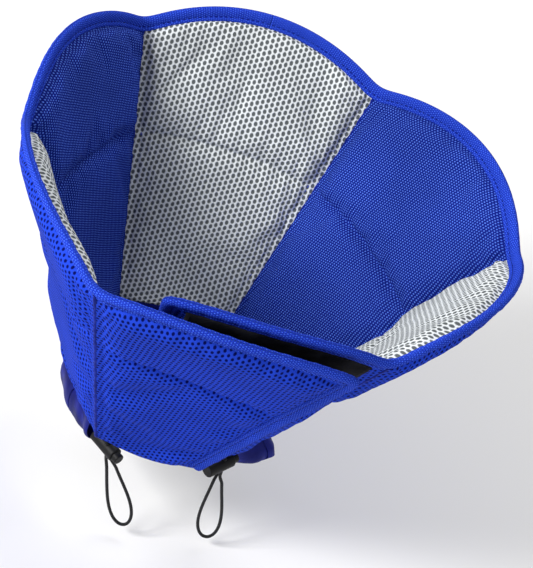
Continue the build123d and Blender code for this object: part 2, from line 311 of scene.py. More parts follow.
def grid_faces(rows, columns, closed=False):
    """Quads of a grid of points; closed joins the last column to the first."""
    faces = []
    last = columns if closed else columns - 1
    for r in range(rows - 1):
        for c in range(last):
            d = (c + 1) % columns
            faces.append((r * columns + c, r * columns + d, (r + 1) * columns + d, (r + 1) * columns + c))
    return faces


def make_object(name, points, faces, material, uv=None, trim=None):
    """A smooth-shaded mesh; uv holds one pair per point, trim more (points, faces, material)."""
    points = np.asarray(points).reshape(-1, 3)
    faces = list(faces)
    own = len(faces)
    if trim is not None:
        faces += [tuple(i + len(points) for i in f) for f in trim[1]]
        points = np.concatenate([points, trim[0]])
    mesh = bpy.data.meshes.new(name)
    mesh.from_pydata(points.tolist(), [], faces)
    mesh.polygons.foreach_set("use_smooth", [True] * len(mesh.polygons))
    if uv is not None:
        layer = mesh.uv_layers.new(name="cloth")
        uv = np.asarray(uv).reshape(-1, 2)
        uv = np.concatenate([uv, np.zeros((len(points) - len(uv), 2))])
        loops = np.zeros(len(mesh.loops), np.int32)
        mesh.loops.foreach_get("vertex_index", loops)
        layer.data.foreach_set("uv", uv[loops].ravel())
    mesh.materials.append(material)
    if trim is not None:
        mesh.materials.append(trim[2])
        mesh.polygons.foreach_set("material_index", [int(i >= own) for i in range(len(faces))])
    mesh.update()
    piece = bpy.data.objects.new(name, mesh)
    bpy.context.scene.collection.objects.link(piece)
    return piece


def tangents(points):
    d = np.gradient(points, axis=0)
    return d / np.maximum(np.linalg.norm(d, axis=1, keepdims=True), 1e-12)


def lengths(points):
    """Distance along a path at each of its points."""
    return np.concatenate([[0], np.cumsum(np.linalg.norm(np.diff(points, axis=0), axis=1))])


def stitch_template():
    """One stitch: a small spindle along x, its belly on z."""
    ring = np.linspace(0, 2 * math.pi, 6, endpoint=False)
    points = [(-0.5, 0, 0)]
    for x, r in ((-0.38, 0.75), (0.0, 1.0), (0.38, 0.75)):
        points += [(x, r * math.cos(a), r * math.sin(a)) for a in ring]
    points.append((0.5, 0, 0))
    faces = [(0, 1 + (k + 1) % 6, 1 + k) for k in range(6)]
    for row in (1, 7):
        faces += [(row + k, row + (k + 1) % 6, row + 6 + (k + 1) % 6, row + 6 + k) for k in range(6)]
    faces += [(19, 13 + k, 13 + (k + 1) % 6) for k in range(6)]
    return np.array(points), faces


def stitch_rows(rows):
    """Points and faces of stitches along rows, each a pair of path points and outward normals."""
    shape, shape_faces = stitch_template()
    size = np.array([STITCH_LENGTH_MM, STITCH_RADIUS_MM, STITCH_RADIUS_MM]) * MM
    points, faces = [], []
    for path, normals in rows:
        s = lengths(path)
        count = int(s[-1] / (STITCH_PITCH_MM * MM))
        if count < 1:
            continue
        at = (np.arange(count) + 0.5) * s[-1] / count
        place = np.stack([np.interp(at, s, path[:, k]) for k in range(3)], -1)
        along = np.stack([np.interp(at, s, tangents(path)[:, k]) for k in range(3)], -1)
        out = np.stack([np.interp(at, s, normals[:, k]) for k in range(3)], -1)
        side = np.cross(out, along)
        side /= np.linalg.norm(side, axis=1, keepdims=True)
        out = np.cross(along, side)
        for p, x, y, z in zip(place, along, side, out):
            start = len(points) * len(shape)
            faces += [tuple(start + i for i in f) for f in shape_faces]
            points.append(p + (shape * size) @ np.array([x, y, z]))
    return np.concatenate(points), faces


def round_tube(name, path, radius, material, sides_count=12):
    """A round cord along a path, its ends closed; the cloth map runs along and around it."""
    path = np.asarray(path)
    along = tangents(path)
    normal = np.zeros_like(path)
    guide = np.array([0.3, 0.2, 0.93])
    for k, d in enumerate(along):
        guide = unit(guide - d * (guide @ d))
        normal[k] = guide
    side = np.cross(along, normal)
    turn = np.linspace(0, 2 * math.pi, sides_count, endpoint=False)
    ring = normal[:, None] * np.cos(turn)[None, :, None] + side[:, None] * np.sin(turn)[None, :, None]
    radius = np.broadcast_to(radius, len(path))
    points = path[:, None] + ring * radius[:, None, None]
    uv = np.stack(np.broadcast_arrays(lengths(path)[:, None], turn[None] * radius[:, None]), -1)
    piece = make_object(name, points, grid_faces(len(path), sides_count, closed=True), material, uv)
    cap(piece)
    return piece


def cap(piece):
    """Closes a tube's open ends."""
    bm = bmesh.new()
    bm.from_mesh(piece.data)
    bmesh.ops.holes_fill(bm, edges=[e for e in bm.edges if e.is_boundary], sides=64)
    bm.to_mesh(piece.data)
    bm.free()


def spline(points, count):
    """A smooth path through a few points."""
    points = np.asarray(points, float)
    knots = lengths(points)
    knots = knots / knots[-1]
    out = np.stack([np.interp(np.linspace(0, 1, count), knots, points[:, k]) for k in range(3)], -1)
    return relax(out, count * 2)


def relax(values, rounds):
    """Smooths a path, its ends fixed."""
    values = values.copy()
    for _ in range(rounds):
        values[1:-1] = 0.25 * values[:-2] + 0.5 * values[1:-1] + 0.25 * values[2:]
    return values


def add_modifier(piece, kind, **settings):
    modifier = piece.modifiers.new(kind.lower(), kind)
    for key, value in settings.items():
        setattr(modifier, key, value)
    return modifier


# ---------------------------------------------------------------- materials


class Graph:
    """A material's node tree, with short helpers for maths on its patterns."""

    def __init__(self, name):
        self.material = bpy.data.materials.new(name)
        self.material.use_nodes = True
        self.tree = self.material.node_tree
        self.shader = self.tree.nodes["Principled BSDF"]

    def put(self, kind, inputs=None, **settings):
        node = self.tree.nodes.new(kind)
        for key, value in settings.items():
            setattr(node, key, value)
        for key, value in (inputs or {}).items():
            self.feed(node.inputs[key], value)
        return node

    def feed(self, socket, value):
        if isinstance(value, bpy.types.NodeSocket):
            self.tree.links.new(value, socket)
        else:
            socket.default_value = value

    def math(self, operation, *values):
        return self.put("ShaderNodeMath", dict(enumerate(values)), operation=operation).outputs[0]

    def vector(self, operation, *values):
        return self.put("ShaderNodeVectorMath", dict(enumerate(values)), operation=operation).outputs[0]

    def ramp(self, value, low, high, to_low=0.0, to_high=1.0):
        inputs = {"Value": value, "From Min": low, "From Max": high, "To Min": to_low, "To Max": to_high}
        return self.put("ShaderNodeMapRange", inputs, interpolation_type="SMOOTHSTEP").outputs[0]

    def mix(self, factor, a, b):
        node = self.put("ShaderNodeMix", data_type="RGBA")
        for socket, value in ((0, factor), (6, a), (7, b)):
            self.feed(node.inputs[socket], value)
        return node.outputs[2]

    def noise(self, scale, detail, vector):
        inputs = {"Scale": scale, "Detail": detail, "Vector": vector}
        return self.put("ShaderNodeTexNoise", inputs).outputs[0]

    def place(self):
        """Position in the object's own frame, in metres."""
        return self.put("ShaderNodeTexCoord").outputs["Object"]

    def cloth_uv(self):
        """Position on the cloth pattern, in millimetres."""
        uv = self.put("ShaderNodeUVMap", uv_map="cloth").outputs[0]
        return self.scaled(uv, 1000.0)

    def scaled(self, vector, factor):
        node = self.put("ShaderNodeVectorMath", {0: vector}, operation="SCALE")
        node.inputs["Scale"].default_value = factor
        return node.outputs[0]

    def finish(self, colour, roughness, bump=None, distance=0.0003, strength=0.6, sheen=0.0, shine=0.2):
        self.feed(self.shader.inputs["Base Color"], colour)
        self.feed(self.shader.inputs["Roughness"], roughness)
        self.feed(self.shader.inputs["Specular IOR Level"], shine)
        self.feed(self.shader.inputs["Sheen Weight"], sheen)
        self.feed(self.shader.inputs["Sheen Roughness"], 0.4)
        if bump is not None:
            inputs = {"Height": bump, "Distance": distance, "Strength": strength}
            normal = self.put("ShaderNodeBump", inputs).outputs[0]
            self.feed(self.shader.inputs["Normal"], normal)
        return self.material


def linear(r, g, b):
    """Linear colour from 0-255 screen values."""
    values = [c / 255 for c in (r, g, b)]
    values = [c / 12.92 if c <= 0.04045 else ((c + 0.055) / 1.055) ** 2.4 for c in values]
    return (*values, 1.0)


def knit(name, ground, spot, pitch, size, raised=False, depth=0.0004, vary=0.15):
    """Knitted cloth with staggered oval spots in columns: dark holes, whose darkness is painted shade inside them,
    or raised bright threads.
    """
    g = Graph(name)
    uv = g.cloth_uv()
    drift = g.put("ShaderNodeTexNoise", {"Vector": uv, "Scale": 0.05, "Detail": 3.0}).outputs["Color"]
    drift = g.scaled(g.vector("SUBTRACT", drift, (0.5, 0.5, 0.5)), 1.6)
    parts = g.put("ShaderNodeSeparateXYZ", {0: g.vector("ADD", uv, drift)})
    u = g.math("DIVIDE", parts.outputs[0], pitch[0])
    column = g.math("FLOOR", u)
    stagger = g.math("MULTIPLY", g.math("MODULO", g.math("ABSOLUTE", column), 2.0), 0.5)
    v = g.math("ADD", g.math("DIVIDE", parts.outputs[1], pitch[1]), stagger)
    du = g.math("DIVIDE", g.math("SUBTRACT", g.math("FRACT", u), 0.5), size[0] / pitch[0] / 2)
    dv = g.math("DIVIDE", g.math("SUBTRACT", g.math("FRACT", v), 0.5), size[1] / pitch[1] / 2)
    r = g.math("SQRT", g.math("ADD", g.math("MULTIPLY", du, du), g.math("MULTIPLY", dv, dv)))
    away = g.ramp(r, 0.7, 1.3)
    fibre = g.noise(2.4, 2.0, uv)
    patches = g.noise(14.0, 3.0, g.place())
    fine = g.ramp(fibre, 0.35, 0.65, 1 - vary, 1 + vary)
    tone = g.math("MULTIPLY", g.ramp(patches, 0.3, 0.7, 0.88, 1.1), fine)
    # where the spots are holes, their dark spot colour is painted shade inside the openings
    colour = g.mix(away, spot, ground)
    colour = g.put("ShaderNodeHueSaturation", {"Color": colour, "Value": tone}).outputs[0]
    height = g.math("SUBTRACT", 1.0, away) if raised else away
    height = g.math("ADD", height, g.math("MULTIPLY", fibre, 0.25))
    return g.finish(colour, 0.75, height, depth, 0.9, shine=0.03)


def plain_cloth(name, colour, dark, rough=0.6, weave_mm=0.6, depth=0.00015, shine=0.05):
    """Smooth cloth or plastic with a fine grain and slow changes of tone."""
    g = Graph(name)
    place = g.place()
    grain = g.noise(1 / (2 * weave_mm * MM), 1.0, place)
    slow = g.noise(60.0, 3.0, place)
    tone = g.mix(g.ramp(slow, 0.35, 0.65), dark, colour)
    return g.finish(tone, rough, grain, depth, 0.5, shine=shine)


def gathered_cloth(name, colour, dark, light, crossing_mm, rough):
    """Tape or satin pulled into small folds across its length, with a painted highlight making it paler on the
    folds.
    """
    g = Graph(name)
    uv = g.cloth_uv()
    folds = g.noise(1.0, 2.0, g.vector("MULTIPLY", uv, (1.0 / crossing_mm, 0.1, 1.0)))
    weave = g.noise(2.2, 1.0, uv)
    slow = g.noise(0.06, 2.0, uv)
    tone = g.mix(g.ramp(slow, 0.35, 0.65), dark, colour)
    # painted highlight: the light colour laid on the crests of the folds
    tone = g.mix(g.ramp(folds, 0.58, 0.75, 0.0, 0.7), tone, light)
    height = g.math("ADD", folds, g.math("MULTIPLY", weave, 0.2))
    return g.finish(tone, rough, height, 0.0004, 0.8, shine=0.1)


def braid(name, colour, light):
    """Round braided cord: two sets of threads winding around it, paler on the raised threads as a painted
    highlight.
    """
    g = Graph(name)
    parts = g.put("ShaderNodeSeparateXYZ", {0: g.cloth_uv()})
    over = g.math("SINE", g.math("MULTIPLY", g.math("ADD", parts.outputs[0], parts.outputs[1]), 4.2))
    under = g.math("SINE", g.math("MULTIPLY", g.math("SUBTRACT", parts.outputs[0], parts.outputs[1]), 4.2))
    height = g.math("MAXIMUM", over, under)
    # painted highlight: the light colour on the raised crests of the threads
    return g.finish(g.mix(g.ramp(height, 0.2, 1.0), colour, light), 0.55, height, 0.0002, 0.8, 0.1)


# the dark spot colour is painted shade inside the knit's holes
BLUE_MESH = knit("blue_outer_mesh", linear(30, 62, 190), linear(3, 10, 80), (2.6, 3.2), (1.5, 1.9))
BLUE_LINING = knit(
    "blue_lining_mesh",
    linear(14, 30, 122),
    linear(84, 120, 224),
    (1.75, 1.5),
    (0.95, 0.85),
    raised=True,
    depth=0.0003,
    vary=0.3,
)
# the dark grey spot colour is painted shade inside the net's holes
GREY_LINING = knit(
    "grey_lining_mesh", linear(226, 230, 231), linear(92, 97, 98), (2.9, 3.5), (2.0, 2.7), depth=0.0007
)
TAPE = knit(
    "rim_tape",
    linear(26, 50, 172),
    linear(62, 98, 222),
    (1.5, 1.3),
    (1.0, 0.75),
    raised=True,
    depth=0.0003,
    vary=0.35,
)
# its third colour is the painted highlight on the crests of the folds
SATIN = gathered_cloth(
    "sleeve_satin", linear(20, 28, 120), linear(11, 16, 84), linear(36, 48, 150), 5.0, 0.5
)
SEAM_CLOTH = plain_cloth("seam_cloth", linear(18, 38, 146), linear(10, 24, 108))
THREAD = plain_cloth("thread", linear(46, 78, 206), linear(32, 58, 176), weave_mm=0.3)
TAPE_THREAD = plain_cloth("tape_thread", linear(12, 26, 112), linear(8, 18, 88), weave_mm=0.3)
# its second colour is the painted highlight on the raised threads
BLACK_CORD = braid("pull_cord", linear(10, 10, 11), linear(34, 34, 37))
BLACK_THREAD = plain_cloth("black_thread", linear(34, 34, 38), linear(20, 20, 23), weave_mm=0.3)
BLACK_PILE = plain_cloth(
    "black_pile", linear(38, 38, 42), linear(17, 17, 20), rough=0.95, weave_mm=0.7, depth=0.0005
)
PLASTIC = plain_cloth("lock_plastic", linear(20, 20, 22), linear(12, 12, 13), rough=0.5, shine=0.2)
STEEL = plain_cloth("spring_steel", linear(170, 172, 176), linear(140, 142, 148), rough=0.3, shine=0.5)


# ---------------------------------------------------------------- panels


def cloth_positions(n, t, reach):
    """Flat pattern place of each point, for the weave, in metres."""
    low, high = sides(n)
    a = low + (high - low) * t
    return np.stack([reach * np.sin(a), reach * np.cos(a)], -1)


PAD_CLOTH = {
    "quality": 6,
    "mass": 0.25,
    "tension_stiffness": 12,
    "compression_stiffness": 12,
    "shear_stiffness": 4,
    "bending_stiffness": 0.25,
    "uniform_pressure_force": 5.0,
    "shrink_min": -0.035,
}


def inflate(name, points, faces, hold):
    """Blows a closed pad up a little with a cloth simulation; hold is 1 where it is sewn down."""
    pad = make_object(name, points, faces, BLUE_MESH)
    group = pad.vertex_groups.new(name="sewn")
    for index, weight in enumerate(hold):
        group.add([index], float(weight), "REPLACE")
    cloth = pad.modifiers.new("cloth", "CLOTH")
    settings = cloth.settings
    for key, value in PAD_CLOTH.items():
        setattr(settings, key, value)
    settings.vertex_group_mass = "sewn"
    settings.use_pressure = True
    settings.effector_weights.gravity = 0
    cloth.point_cache.frame_start, cloth.point_cache.frame_end = 1, SIMULATION_FRAMES
    scene = bpy.context.scene
    for step in range(1, SIMULATION_FRAMES + 1):
        scene.frame_set(step)
    depsgraph = bpy.context.evaluated_depsgraph_get()
    mesh = pad.evaluated_get(depsgraph).to_mesh()
    moved = np.zeros(len(mesh.vertices) * 3)
    mesh.vertices.foreach_get("co", moved)
    moved = moved.reshape(-1, 3)
    scene.frame_set(1)
    bpy.data.objects.remove(pad)
    change = moved - points
    size = np.linalg.norm(change, axis=1, keepdims=True)
    cap = WRINKLE_CAP_MM * MM
    return points + change * np.minimum(1.0, cap / np.maximum(size, 1e-9)) * (1 - hold[:, None])


def sewn_down(n, t, reach):
    """1 on seams, stitch lines, crease and edges, 0 in the middle of a pad."""
    thick = half_thickness(n, t, reach, 1 if n != LAST else -1) / MM
    return 1 - smooth_step((thick - SEWN_HALF_MM - 0.5) / 1.2)


def pad_faces():
    """Faces of a closed pad: outer grid, inner grid and the wall between their edges."""
    outer = grid_faces(ROWS, COLUMNS)
    count = ROWS * COLUMNS
    inner = [tuple(count + i for i in reversed(f)) for f in outer]
    edge = list(range(COLUMNS))
    edge += [r * COLUMNS + COLUMNS - 1 for r in range(1, ROWS)]
    edge += [(ROWS - 1) * COLUMNS + c for c in range(COLUMNS - 2, -1, -1)]
    edge += [r * COLUMNS for r in range(ROWS - 2, 0, -1)]
    wall = [(b, a, count + a, count + b) for a, b in zip(edge, edge[1:] + edge[:1])]
    return outer + inner + wall


def build_panel(n):
    t, reach = grid(n)
    outer = panel_point(n, t, reach, half_thickness(n, t, reach, 1)).reshape(-1, 3)
    inner = panel_point(n, t, reach, -half_thickness(n, t, reach, -1)).reshape(-1, 3)
    hold = sewn_down(n, t, reach).ravel()
    outer_hold = np.ones_like(hold) if n == LAST else hold
    inner_hold = np.ones_like(hold) if n == FIRST else hold
    both = np.concatenate([outer_hold, inner_hold])
    moved = inflate(f"pad_{n}", np.concatenate([outer, inner]), pad_faces(), both)
    outer, inner = moved[: len(outer)], moved[len(outer) :]
    uv = cloth_positions(n, t, reach)
    faces = grid_faces(ROWS, COLUMNS)
    backs = [f[::-1] for f in faces]
    body = f"panel_{n}"
    cover = make_object(f"cover_{n}", outer, faces, BLUE_MESH, uv)
    lining = GREY_LINING if n % 2 == 0 else BLUE_LINING
    back = make_object(f"lining_cloth_{n}", inner, backs, lining, uv)
    for piece in (cover, back):
        add_modifier(piece, "SOLIDIFY", thickness=CLOTH_MM * MM, offset=-1)
        add_modifier(piece, "SUBSURF", levels=1, render_levels=1)
        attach(piece, body)
    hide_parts(f"outer_cover_{n}", f"foam_{n}")
    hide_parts(f"lining_{n}")


def line_on_panel(n, t, reach, side, lift_mm=0.1):
    """Path and normals of a line on a panel's outer (side 1) or inner (-1) face."""
    t, reach = np.broadcast_arrays(np.asarray(t, float), np.asarray(reach, float))
    height = side * (half_thickness(n, t, reach, side) + lift_mm * MM)
    points = panel_point(n, t, reach, height)
    return points, np.broadcast_to(side * AXES[n][2], points.shape)


def seam_offset(n, low_side, distance_mm, reach):
    """t at which a line runs a fixed distance from one side of a panel."""
    low, high = sides(n)
    turn = np.arcsin(distance_mm * MM / reach) / (high - low)
    return turn if low_side else 1 - turn


def build_stitches(n):
    """Topstitching of a panel, on both faces: beside its seams, along crease, hem and rim."""
    rows = []
    across = np.linspace(0, 1, 60)
    up = np.linspace(NECK + 2 * MM, rim_reach(n, np.array(0.5)) - 12 * MM, 60)
    for side in (1, -1):
        for low_side in (True, False):
            free = (n == LAST and low_side) or (n == FIRST and not low_side)
            distance = BINDING_WIDTH_MM + FREE_STRIP_MM if free else SEAM_STRIP_MM
            end = float(rim_reach(n, np.array(0.0 if low_side else 1.0))) - 10 * MM
            reach = np.linspace(NECK + 2 * MM, end, 60)
            rows.append(line_on_panel(n, seam_offset(n, low_side, distance, reach), reach, side))
        inset = across * 0.9 + 0.05
        rows.append(line_on_panel(n, inset, crease_reach(n, inset), side))
        rows.append(line_on_panel(n, inset, hem_reach(n, inset) + HEM_STITCH_MM * MM, side))
        rim = rim_reach(n, inset) - (TUCK_MM + RIM_STRIP_MM) * MM
        rows.append(line_on_panel(n, inset, rim, side))
    piece = make_object(f"stitches_{n}", *stitch_rows(rows), THREAD)
    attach(piece, f"panel_{n}")


for panel in PANELS:
    build_panel(panel)
    build_stitches(panel)


# ---------------------------------------------------------------- rolled seams between the panels


BODIES = frame["record"]["behaviour"]["bodies"]
NODE_BODY = {node: body for body, nodes in BODIES.items() for node in nodes}


def build_seam(k):
    """The rolled seam allowance between panels k and k + 1."""
    node = f"seam_tape_{k}_{k + 1}"
    end = NOTCH + NOTCH_LIFTS_MM[k] * MM - 3 * MM
    start = NECK + (0.5 - HEM_DROPS_MM.get(k, 0.0)) * MM
    path = APEX + np.linspace(start, end, 90)[:, None] * SEAMS[k]
    s = lengths(path) / MM
    radius = (1.15 + 0.18 * np.sin(s * 0.9) + 0.12 * np.sin(s * 0.37)) * MM
    piece = round_tube(f"seam_roll_{k}_{k + 1}", path, radius, SEAM_CLOTH)
    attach(piece, NODE_BODY[node])
    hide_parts(node)


for seam in SEAM_JOINTS:
    build_seam(seam)


# ---------------------------------------------------------------- hook and loop cloth


PATCH_COLUMNS, PATCH_ROWS = 41, 61
HOOK_PILE_MM, LOOP_PILE_MM = 0.9, 0.6
PATCH_LIFT_MM = 0.05  # clear of the cloth under it


def patch(name, n, side, node, material, corners, lift_mm, thick_mm):
    """A strip of cloth lying on a panel's face; corners give low and high t and reach margins."""
    low_t, high_t, low_reach, rim_margin = corners
    across = np.linspace(low_t, high_t, PATCH_COLUMNS)
    up = np.linspace(0, 1, PATCH_ROWS)
    t, v = np.meshgrid(across, up)
    top = rim_reach(n, t) - rim_margin * MM
    reach = low_reach + (top - low_reach) * v
    height = side * (half_thickness(n, t, reach, side) + lift_mm * MM)
    points = panel_point(n, t, reach, height)
    faces = grid_faces(PATCH_ROWS, PATCH_COLUMNS)
    faces = faces if side > 0 else [f[::-1] for f in faces]
    piece = make_object(name, points, faces, material, cloth_positions(n, t, reach))
    add_modifier(piece, "SOLIDIFY", thickness=thick_mm * MM, offset=1)
    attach(piece, f"panel_{n}")
    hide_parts(node)
    border = []
    lift = lift_mm + thick_mm
    inset = 0.02 * (high_t - low_t)
    for fixed in (low_t + inset, high_t - inset):
        column = np.full(PATCH_ROWS, fixed)
        top = rim_reach(n, column) - rim_margin * MM
        line = low_reach + (top - low_reach) * np.linspace(0.02, 0.98, PATCH_ROWS)
        border.append(line_on_panel(n, column, line, side, lift))
    border.append(line_on_panel(n, across, rim_reach(n, across) - (rim_margin + 1.5) * MM, side, lift))
    border.append(line_on_panel(n, across, low_reach + 1.5 * MM, side, lift))
    stitches = make_object(f"{name}_stitches", *stitch_rows(border), BLACK_THREAD)
    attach(stitches, f"panel_{n}")


CLOSURE_LOW = local(FIRST, cad_points("hook_strip"))[1].min()
HOOK_ANGLES = local(FIRST, cad_points("hook_strip"))[0]
LOOP_ANGLES = local(LAST, cad_points("loop_pad"))[0]


def share(n, angle):
    low, high = sides(n)
    return (angle - low) / (high - low)


HOOK_LOW, HOOK_HIGH = (share(FIRST, np.percentile(HOOK_ANGLES, p)) for p in (15, 75))
LOOP_LOW, LOOP_HIGH = share(LAST, LOOP_ANGLES.min()) + 0.02, share(LAST, LOOP_ANGLES.max())
patch(
    "hook_cloth", FIRST, -1, "hook_strip", BLACK_PILE,
    (HOOK_LOW, HOOK_HIGH, CLOSURE_LOW, 12.5), PATCH_LIFT_MM, HOOK_PILE_MM,
)
patch(
    "loop_cloth", LAST, 1, "loop_pad", BLACK_PILE,
    (LOOP_LOW, LOOP_HIGH, CLOSURE_LOW, 8.5), PATCH_LIFT_MM, LOOP_PILE_MM,
)


# ---------------------------------------------------------------- rim binding


def rim_path():
    """The rim from panel 1's free hem corner to panel 7's: points, ways inward, panel numbers."""
    points, inward, owners = [], [], []
    depth = BINDING_WIDTH_MM * MM

    def add(n, t, reach, inner_t, inner_reach):
        point = panel_point(n, np.array(t), np.array(reach))
        points.append(point)
        inward.append(unit(panel_point(n, np.array(inner_t), np.array(inner_reach)) - point))
        owners.append(n)

    step = RIM_STEP_MM * MM
    for reach in np.arange(NECK, float(rim_reach(FIRST, 1.0)), step):
        add(FIRST, 1.0, reach, 1 - depth / reach / (sides(FIRST)[1] - sides(FIRST)[0]), reach)
    for n in PANELS:
        low, high = sides(n)
        count = int((high - low) * NOTCH / step)
        for t in np.linspace(1, 0, count, endpoint=n == LAST):
            reach = float(rim_reach(n, t))
            add(n, t, reach, t, reach - depth)
    for reach in np.arange(float(rim_reach(LAST, 0.0)), NECK, -step):
        add(LAST, 0.0, reach, depth / reach / (sides(LAST)[1] - sides(LAST)[0]), reach)
    return np.array(points), np.array(inward), np.array(owners)


def binding_frames():
    """The smoothed rim with its outward and inward directions, lying in the panels' surfaces."""
    points, inward, owners = rim_path()
    points = relax(points, RIM_SMOOTHING)
    inward = relax(inward, RIM_SMOOTHING)
    along = tangents(points)
    inward = inward - (inward * along).sum(1, keepdims=True) * along
    inward /= np.linalg.norm(inward, axis=1, keepdims=True)
    return points, np.cross(along, inward), inward, owners


RIM_POINTS, RIM_NORMALS, RIM_INWARD, RIM_OWNERS = binding_frames()
RIM_LENGTH = lengths(RIM_POINTS)


def seam_index(k):
    """Place on the rim path of the seam between panels k and k + 1."""
    return int(np.argmax(RIM_OWNERS == k + 1))


def middle_index(n):
    """Place on the rim path of a panel's middle."""
    return (seam_index(n - 1) + seam_index(n)) // 2


# Half of the folded tape's section: distance in from the rim, height above the panel's middle
TAPE_SECTION_MM = (
    (0.0, 0.0),
    (0.2, 0.95),
    (0.9, 1.8),
    (2.2, 2.35),
    (3.8, 2.3),
    (5.1, 1.85),
    (5.8, 1.4),
    (6.2, 1.25),
    (6.6, 1.45),
    (7.4, 1.75),
    (8.2, 1.6),
    (8.8, 1.1),
    (9.0, 0.0),
)
TAPE_STITCH_MM = (6.2, 1.3)  # the stitching sits in the groove of the section


def tape_outline():
    """The whole section, once round."""
    top = TAPE_SECTION_MM
    bottom = [(p, -h) for p, h in top[-2:0:-1]]
    return np.array(list(top) + bottom) * MM


def tube(name, start, end, material):
    """A stretch of the binding: the folded tape's section swept along the rim, with its stitches."""
    index = np.arange(start, end + 1)
    section = tape_outline()
    where = RIM_LENGTH[index] / MM
    gather = 1 + 0.05 * np.sin(where * 0.9 + 2 * np.sin(where * 0.13)) + 0.04 * np.sin(where * 0.37)
    origin, inward, normal = RIM_POINTS[index], RIM_INWARD[index], RIM_NORMALS[index]
    points = (
        origin[:, None, :]
        + inward[:, None, :] * section[None, :, :1]
        + normal[:, None, :] * (section[None, :, 1] * gather[:, None])[..., None]
    )
    uv = np.stack(np.broadcast_arrays(where[:, None] * MM, lengths(section)[None, :]), -1)
    deep, high = np.array(TAPE_STITCH_MM) * MM
    rows = [(origin + inward * deep + normal * (side * high), side * normal) for side in (1, -1)]
    faces = grid_faces(len(index), len(section), closed=True)
    piece = make_object(name, points, faces, material, uv, trim=(*stitch_rows(rows), TAPE_THREAD))
    cap(piece)
    return piece


def crossing(piece):
    """Bakes a piece's placement into its mesh; it is not attached to either panel."""
    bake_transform(piece)


def build_binding():
    for k in SEAM_JOINTS:
        start = middle_index(k) if k > FIRST else 0
        end = middle_index(k + 1) if k + 1 < LAST else len(RIM_POINTS) - 1
        piece = tube(f"rim_tape_{k}_{k + 1}", start, end, TAPE)
        crossing(piece)
        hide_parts(f"rim_binding_{k + 1}", *(["rim_binding_1"] if k == FIRST else []))


build_binding()


# ---------------------------------------------------------------- gathered sleeve and its cord

SLEEVE_PANELS = range(2, 7)
CASING_MM = 56.4  # radius of the middle of the cord's casing
INNER_WALL_MM = 54.3
SKIRT_MM = 60.5  # the sleeve hangs at least this far from the axis, clear of the cord inside it
SLEEVE_END_MM = 11.5  # the sleeve stops this far short of seams 1/2 and 6/7
GATHER_PITCH_MM, GATHER_MM = 15.0, 0.9
# Loose cloth beside the right lock; its place and spread are angles round the neck, in degrees
BULGE_MM, BULGE_AT, BULGE_SPREAD = 16.0, -18.0, 12.0
SLEEVE_LOW = min(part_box(f"neck_sleeve_{n}")[0].z for n in SLEEVE_PANELS)
CORD_HEIGHT = sum(v.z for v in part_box("drawcord_4")) / 2


def hem_line():
    """The hem of the sleeve's panels, its outward directions and panel numbers."""
    points, owners = [], []
    gap = SLEEVE_END_MM / (NECK * PANEL_ANGLE / MM)
    for n in SLEEVE_PANELS:
        first = gap if n == SLEEVE_PANELS[0] else 0.0
        last = gap if n == SLEEVE_PANELS[-1] else 0.0
        for t in np.linspace(1 - first, last, 48, endpoint=n == SLEEVE_PANELS[-1]):
            points.append(panel_point(n, np.array(t), hem_reach(n, t), -0.9 * MM))
            owners.append(n)
    return relax(np.array(points), 20), np.array(owners)


HEM, HEM_OWNERS = hem_line()


def sleeve_surface():
    """Grid of points, hem samples by places down the skirt, round the casing and up inside."""
    flat = HEM * np.array([1.0, 1.0, 0.0])
    radius = np.linalg.norm(flat, axis=1) / MM
    out = flat / np.linalg.norm(flat, axis=1, keepdims=True)
    s = lengths(HEM) / MM
    wave = np.sin(2 * math.pi * s / GATHER_PITCH_MM + 1.5 * np.sin(s * 0.09)) + 0.5 * np.sin(s * 0.31)
    heading = np.degrees(np.arctan2(HEM[:, 1], HEM[:, 0]))
    loose = GATHER_MM * wave + BULGE_MM * np.exp(-(((heading - BULGE_AT) / BULGE_SPREAD) ** 2))
    low = SLEEVE_LOW / MM
    top = HEM[:, 2] / MM
    # Each place on the profile: share of the way from the hem's radius to the casing's, height, gather
    profile = (
        (0.05, 4.5, 0.0, 0.0),
        (0.0, 0.0, 0.0, 0.1),
        (-0.12, 0.0, 0.2, 0.5),
        (-0.1, 0.0, 0.45, 0.9),
        (0.12, 0.0, 0.68, 1.1),
        (0.45, 0.0, 0.86, 1.0),
        (0.72, 0.0, 0.97, 0.7),
        (0.9, 0.0, 1.02, 0.5),
        (1.0, 0.0, 1.05, 0.3),
    )
    rows = []
    for share_in, lift, down, gather in profile:
        hang = np.maximum(radius, SKIRT_MM) if down > 0 else radius
        r = hang + (CASING_MM + 0.5 - hang) * share_in + gather * loose
        z = top + lift + (low + 0.6 - top) * down
        rows.append(out * (r * MM)[:, None] + np.array([0, 0, 1.0]) * (z * MM)[:, None])
    for r, z in ((INNER_WALL_MM + 0.6, low + 0.4), (INNER_WALL_MM, low + 3), (INNER_WALL_MM, low + 12)):
        rows.append(out * (r * MM) + np.array([0, 0, z * MM]))
    last = out * ((radius - 3) * MM)[:, None] + np.array([0, 0, 1.0]) * ((top + 2.5) * MM)[:, None]
    rows.append(last)
    return np.stack(rows, 1)


